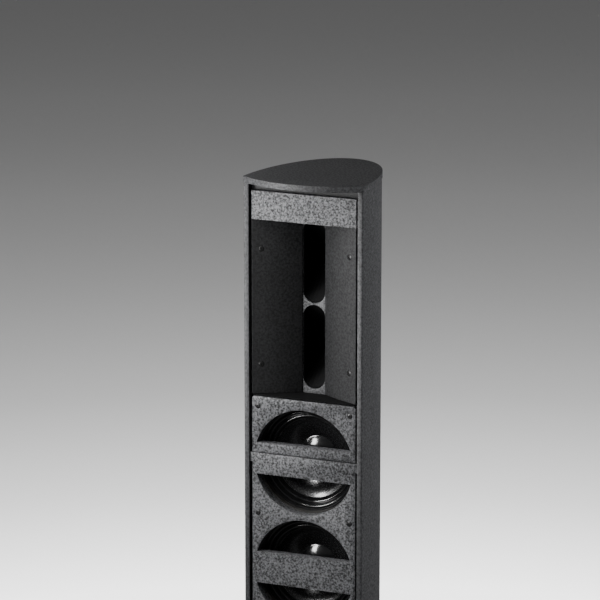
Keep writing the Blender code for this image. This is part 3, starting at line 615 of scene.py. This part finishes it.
def socket_screw(name, place, direction, radius=SCREW_RADIUS, sink=SCREW_SINK):
    """A button-head screw with a six-sided socket, sunk in its pocket."""
    flank = 0.35
    angles = [math.radians(15 * step) for step in range(1, 7)]
    profile = [(0.0, SCREW_HEAD)]
    profile += [(radius * math.sin(a), SCREW_HEAD * (flank + (1 - flank) * math.cos(a)))
                for a in angles]
    profile += [(radius, -SCREW_FOOT), (0.0, -SCREW_FOOT)]
    head = to_mesh(turned(name, profile, 32, closed=False))
    bpy.ops.mesh.primitive_cylinder_add(vertices=6, radius=radius * KEY_SHARE, depth=KEY_DEPTH)
    key = to_mesh(bpy.context.object)
    key.location = (0.0, 0.0, SCREW_HEAD)
    head = boolean(head, key)
    head.name = name
    seat = Vector(place) - Vector(direction).normalized() * (sink - SCREW_SEAT)
    item = aimed(head, seat, direction)
    finish_piece(smooth(item, 25), BLACK_METAL, ROOT)


def plate_screws(item, places, prefix):
    """Pockets in a plate, and the screws that sit in them."""
    for x, z in places:
        item = counterbore(item, (x, FRONT + PLATE_FACE, z), (0, -1, 0))
    for number, (x, z) in enumerate(places, start=1):
        socket_screw("%s_screw_%d" % (prefix, number), (x, FRONT + PLATE_FACE, z), (0, -1, 0))
    return item


def upper_plate():
    """The plate with the upper half of the first opening."""
    low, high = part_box("upper_baffle_plate")
    x, top = high.x, high.z
    inner_x, inner_z = x - PLATE_CORNER, top - PLATE_CORNER
    edge = (arc((inner_x, inner_z), PLATE_CORNER, 0, 90, 8)
            + arc((-inner_x, inner_z), PLATE_CORNER, 90, 180, 8)
            + [(-x, low.z + SEAM), (x, low.z + SEAM)])
    item = standing(outline_solid("upper_plate_skin", [edge, half_moon(woofer_centre(1), 1)],
                                  high.y - low.y), low.y, high.y)
    item = bevel(item, EDGE)
    item = plate_screws(item, [(side * PLATE_SCREW_X, top - PLATE_SCREW_INSET)
                               for side in (-1, 1)], "upper_plate")
    finish_piece(smooth(item), FRONT_PAINT, ROOT, "upper_baffle_plate")


def main_plate():
    """The long plate with all the other openings."""
    low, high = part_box("main_baffle_plate")
    x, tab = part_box("upper_baffle_plate")[1].x, high.x
    top, bottom = high.z, low.z
    edge = [(tab, top), (-tab, top), (-tab, top - TAB_HEIGHT), (-x, top - TAB_HEIGHT),
            (-x, bottom), (x, bottom), (x, top - TAB_HEIGHT), (tab, top - TAB_HEIGHT)]
    holes = [half_moon(woofer_centre(1), -1)]
    for number in range(2, WOOFERS + 1):
        holes += [half_moon(woofer_centre(number), 1), half_moon(woofer_centre(number), -1)]
    item = standing(outline_solid("main_plate_skin", [edge] + holes, high.y - low.y),
                    low.y, high.y)
    item = bevel(item, EDGE)
    waists = [(woofer_centre(n) + woofer_centre(n + 1)) / 2 for n in range(1, WOOFERS)]
    rows = waists + [bottom + PLATE_SCREW_INSET]
    item = plate_screws(item, [(side * PLATE_SCREW_X, z) for z in rows for side in (-1, 1)],
                        "main_plate")
    finish_piece(smooth(item), FRONT_PAINT, ROOT, "main_baffle_plate")


# ---------------------------------------------------------------- horn
def wing(node, side):
    """One wall of the horn, with its two screws."""
    low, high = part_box(node)
    edge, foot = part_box("upper_baffle_plate")[1].x, max(abs(low.x), abs(high.x))
    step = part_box("slot_strip")[1].x + FIT
    front = low.y - FRONT
    joint = front + WING_FLANGE[0]
    behind = joint + WING_FLANGE[1]
    points = [(edge, front), (edge, joint), (foot, joint), (foot, behind),
              (WING_BEND[0] + WING_HEEL, behind), (WING_BEND[0], WING_BEND[1] + WING_THICKNESS),
              (step, WING_TIP[1] + WING_THICKNESS), (step, WING_TIP[1] + WING_LIP),
              (WING_TIP[0], WING_TIP[1] + WING_LIP), WING_TIP, WING_BEND]
    item = lying(outline_solid(node + "_skin", [[(side * x, y) for x, y in points]],
                               high.z - low.z), low.z, high.z)
    item = bevel(item, FINE_EDGE, 2, 50)
    run = Vector((edge - WING_BEND[0], front - WING_BEND[1], 0.0))
    normal = Vector((side * run.y, -run.x, 0.0)).normalized()
    share = (edge - WING_SCREW_X) / (edge - WING_BEND[0])
    y = FRONT + front + share * (WING_BEND[1] - front)
    for number, drop in enumerate(WING_SCREW_DROPS, start=1):
        place = (side * WING_SCREW_X, y, TOP - drop)
        item = counterbore(item, place, normal)
        socket_screw("%s_screw_%d" % (node, number), place, normal)
    finish_piece(smooth(item, 20), WING_PLASTIC, ROOT, node)


def slot_strip():
    """The strip at the bottom of the horn, with a round-ended slot for each driver."""
    low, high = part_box("slot_strip")
    x = high.x
    loops = [[(x, high.z), (-x, high.z), (-x, low.z), (x, low.z)]]
    for node in ("waveguide_upper", "waveguide_lower"):
        way_low, way_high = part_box(node)
        centre = (way_low.z + way_high.z) / 2
        reach = SLOT_LENGTH / 2 - SLOT_RADIUS
        loops.append(arc((0.0, centre + reach), SLOT_RADIUS, 0, 180, 32)
                     + arc((0.0, centre - reach), SLOT_RADIUS, 180, 360, 32))
    item = standing(outline_solid("slot_strip_skin", loops, high.y - low.y), low.y, high.y)
    item = bevel(item, SLOT_EDGE, 3)
    finish_piece(smooth(item), STRIP_PAINT, ROOT, "slot_strip")


# ---------------------------------------------------------------- woofers
def facing_front(item, z):
    """Turn local +Z to the front, with local Z = 0 at the front plane."""
    return aimed(item, (0.0, FRONT, z), (0, -1, 0))


def cone(number, z):
    """A curved paper cone with its neck and the voice coil former."""
    wall, curve_steps = 0.0008, 8
    neck, former = 0.0133, 0.0126
    neck_top, neck_base, former_end = -0.0458, -0.0475, -0.0660
    outer = through([(CONE_RADIUS, -CONE_RIM), (0.0360, -0.0281), (0.0285, -0.0338),
                     (0.0200, -0.0414), (0.0155, -0.0449), (neck, neck_top)], curve_steps)[:-1]
    inner = [(r - wall * 0.5, h - wall) for r, h in outer[:-1]]
    inner += [(neck, neck_base), (neck, former_end), (former, former_end), (former, neck_top)]
    item = facing_front(turned("woofer_%d_cone_skin" % number, outer + inner[::-1]), z)
    finish_piece(smooth(item, 50), CONE_COAT, "woofer_%d_moving" % number,
                 "woofer_%d_cone" % number)


def dust_cap(number, z):
    """A shallow pressed dome with a narrow glued flange."""
    edge, rise, base, wall, dome_steps = 0.0199, 0.0049, -0.0414, 0.0006, 24
    radius = (edge ** 2 + rise ** 2) / (2 * rise)
    half_angle = math.asin(edge / radius)
    centre = base + rise - radius
    angles = [half_angle * step / dome_steps for step in range(dome_steps + 1)]
    outer = [(radius * math.sin(a), centre + radius * math.cos(a)) for a in angles]
    outer += [(edge + 0.0005, base - 0.00005), (edge + 0.0009, base - 0.0002)]
    inner = [(max(r - wall * 0.4, 0.0), h - wall) for r, h in outer]
    item = facing_front(turned("woofer_%d_dome_skin" % number, outer + inner[::-1],
                               closed=False), z)
    finish_piece(smooth(item, 60), DOME_GLOSS, "woofer_%d_moving" % number,
                 "woofer_%d_dust_cap" % number)


def surround(number, z):
    """The rubber edge with two round ridges, between the cabinet and the cone."""
    lip, rim = -SURROUND_LIP, -(CONE_RIM + 0.0001)
    start, end, rise, wall = 0.0522, 0.0428, 0.0022, 0.0007
    glued_to, half_glue, ridge_steps = 0.0424, 0.0003, 32
    upper = [(0.0570, lip), (0.0535, lip)]
    for step in range(ridge_steps + 1):
        share = step / ridge_steps
        ridge = rise * abs(math.sin(math.pi * share * 2))
        base = lip - half_glue + (rim - lip + 2 * half_glue) * share
        upper.append((start + (end - start) * share, base + ridge))
    lower = [(r, h - wall) for r, h in upper] + [(glued_to, rim - half_glue)]
    upper.append((glued_to, rim + half_glue))
    item = facing_front(turned("woofer_%d_surround_skin" % number, upper + lower[::-1]), z)
    coat(smooth(item, 60), SURROUND_RUBBER)
    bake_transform(item)
    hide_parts("woofer_%d_surround" % number)


# ---------------------------------------------------------------- CAD nodes that stay
def dress(node, material, width=0.0):
    """Give a CAD node its material, and rounded edges where it shows."""
    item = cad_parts[node]
    coat(item, material)
    if width:
        rounded(item, width)


def cup_screws():
    """Four small screws in the corners of the terminal cup's floor."""
    low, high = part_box("terminal_cup")
    seat = low.y + CUP_FLOOR_THICKNESS
    places = [(side * CUP_SCREW_X, z) for z in (low.z + CUP_SCREW_INSET, high.z - CUP_SCREW_INSET)
              for side in (-1, 1)]
    for number, (x, z) in enumerate(places, start=1):
        socket_screw("terminal_cup_screw_%d" % number, (x, seat, z), (0, 1, 0),
                     CUP_SCREW_RADIUS, 0.0)


def dress_cad():
    """Materials for the CAD nodes that are shown as they are."""
    for node in ("top_panel", "bottom_panel"):
        dress(node, PANEL_PAINT, EDGE)
    # the horn floor's near-black throat material is partly painted shade, the shade that lies in
    # the horn
    for node in ("horn_roof", "horn_floor"):
        dress(node, THROAT_BLACK)
    dress("driver_board", BOARD)
    for name in ("upper", "lower"):
        dress("waveguide_" + name, THROAT_BLACK)
        dress("hf_motor_" + name, THROAT_BLACK)
        dress("hf_cover_" + name, BLACK_METAL)
        dress("hf_diaphragm_" + name, THROAT_BLACK)
        dress("wall_boss_" + name, STEEL, 0.0003)
    for number in range(1, WOOFERS + 1):
        dress("woofer_%d_basket" % number, BLACK_METAL)
        dress("woofer_%d_motor" % number, BLACK_METAL)
        dress("woofer_%d_spider" % number, FELT)
        dress("foot_%d" % number, FOOT_RUBBER)
    dress("pole_socket", STEEL, 0.0004)
    dress("terminal_cup", DARK_PLASTIC, 0.0004)
    for number in (1, 2):
        dress("speaker_socket_%d" % number, DARK_PLASTIC, 0.0003)
    dress("crossover_board", CIRCUIT)
    dress("crossover_coil", COPPER)
    dress("crossover_capacitor", FOOT_RUBBER)
    dress("damping_foam", FELT)


# ---------------------------------------------------------------- stage, light and camera
def floor():
    """A pale round floor whose grey rises with distance from the column: painted shade that evens
    out the pool of light under its lamp.
    """
    bpy.ops.mesh.primitive_circle_add(vertices=128, radius=FLOOR_RADIUS, fill_type="NGON")
    item = bpy.context.object
    item.name = "floor"
    item.location.z = LOW.z - FLOOR_GAP
    made = Shader("floor_sweep", 0.85)
    made.specular(0.15)
    length = made.node("ShaderNodeVectorMath", operation="LENGTH")
    made.link(made.place, length.inputs[0])
    reach = FLOOR_TONES[-1][0]
    share = made.node("ShaderNodeMath", operation="DIVIDE")
    made.link(length.outputs["Value"], share.inputs[0])
    share.inputs[1].default_value = reach
    made.colour(made.ramp(share.outputs[0], [(r / reach, tone) for r, tone in FLOOR_TONES]))
    item.data.materials.append(made.material)
    item.visible_diffuse = item.visible_glossy = False


def area_light(name, place, aim, size, power, height=None):
    """A lamp that the camera doesn't see; it is square unless a height is given."""
    data = bpy.data.lights.new(name, "AREA")
    data.shape = "RECTANGLE"
    data.size = size
    data.size_y = height or size
    data.energy = power
    item = collect(bpy.data.objects.new(name, data))
    item.location = place
    item.rotation_mode = "QUATERNION"
    item.rotation_quaternion = (Vector(aim) - Vector(place)).to_track_quat("-Z", "Y")
    item.visible_camera = False
    return item


def around(azimuth, distance, height):
    """A place at an azimuth in degrees to the right of the front."""
    angle = math.radians(azimuth)
    return Vector((math.sin(angle) * distance, -math.cos(angle) * distance, height))


def link_to_floor(lamp, state):
    """Let a lamp light the floor alone (INCLUDE), or everything else (EXCLUDE)."""
    lit = bpy.data.collections.new(lamp.name + "_receivers")
    lit.objects.link(bpy.data.objects["floor"])
    lit.collection_objects[0].light_linking.link_state = state
    lamp.light_linking.receiver_collection = lit


def lights():
    """Soft lamps light the matt surfaces, and glint lamps are what the glossy ones mirror."""
    for lamps, soft in ((SOFT_LAMPS, True), (GLINT_LAMPS, False)):
        for name, azimuth, distance, height, wide, tall, power, below in lamps:
            aim = Vector((0.0, FRONT, TOP - below))
            item = area_light(name, around(azimuth, distance, TOP + height), aim, wide, power,
                              tall)
            item.visible_glossy, item.visible_diffuse = not soft, soft
    over = area_light("floor_light", (0.0, 0.0, FLOOR_LAMP_HEIGHT), (0.0, 0.001, 0.0),
                      FLOOR_LAMP_SIZE, FLOOR_POWER)
    link_to_floor(over, "INCLUDE")
    back = area_light("fill_back", around(180, BACK_LAMP_DISTANCE, TOP - BACK_LAMP_DROP),
                      (0.0, HIGH.y, TOP - BACK_AIM_DROP), BACK_LAMP_SIZE, BACK_LAMP_POWER)
    back.visible_glossy = False
    link_to_floor(back, "EXCLUDE")
    world = bpy.data.worlds.new("studio")
    bpy.context.scene.world = world
    world.use_nodes = True
    world.node_tree.nodes["Background"].inputs["Color"].default_value = (1, 1, 1, 1)
    world.node_tree.nodes["Background"].inputs["Strength"].default_value = WORLD_GREY


def camera():
    """The camera, placed and aimed from its angles and distance."""
    azimuth, elevation = math.radians(CAMERA_AZIMUTH), math.radians(CAMERA_ELEVATION)
    back = Vector((math.sin(azimuth) * math.cos(elevation),
                   -math.cos(azimuth) * math.cos(elevation), math.sin(elevation)))
    data = bpy.data.cameras.new("camera")
    data.lens = CAMERA_LENS
    data.sensor_width = 36.0
    data.clip_end = 100.0
    item = collect(bpy.data.objects.new("camera", data))
    item.location = AIM + back * CAMERA_DISTANCE
    item.rotation_mode = "QUATERNION"
    item.rotation_quaternion = (-back).to_track_quat("-Z", "Y")
    bpy.context.scene.camera = item


# ---------------------------------------------------------------- assembly
camera()
floor()
lights()
shell()
for end in ("top_cap", "bottom_cap"):
    cap(end)
upper_plate()
main_plate()
for wing_node, wing_side in (("horn_wing_left", -1), ("horn_wing_right", 1)):
    wing(wing_node, wing_side)
slot_strip()
for woofer in range(1, WOOFERS + 1):
    height = woofer_centre(woofer)
    cone(woofer, height)
    dust_cap(woofer, height)
    surround(woofer, height)
cup_screws()
dress_cad()
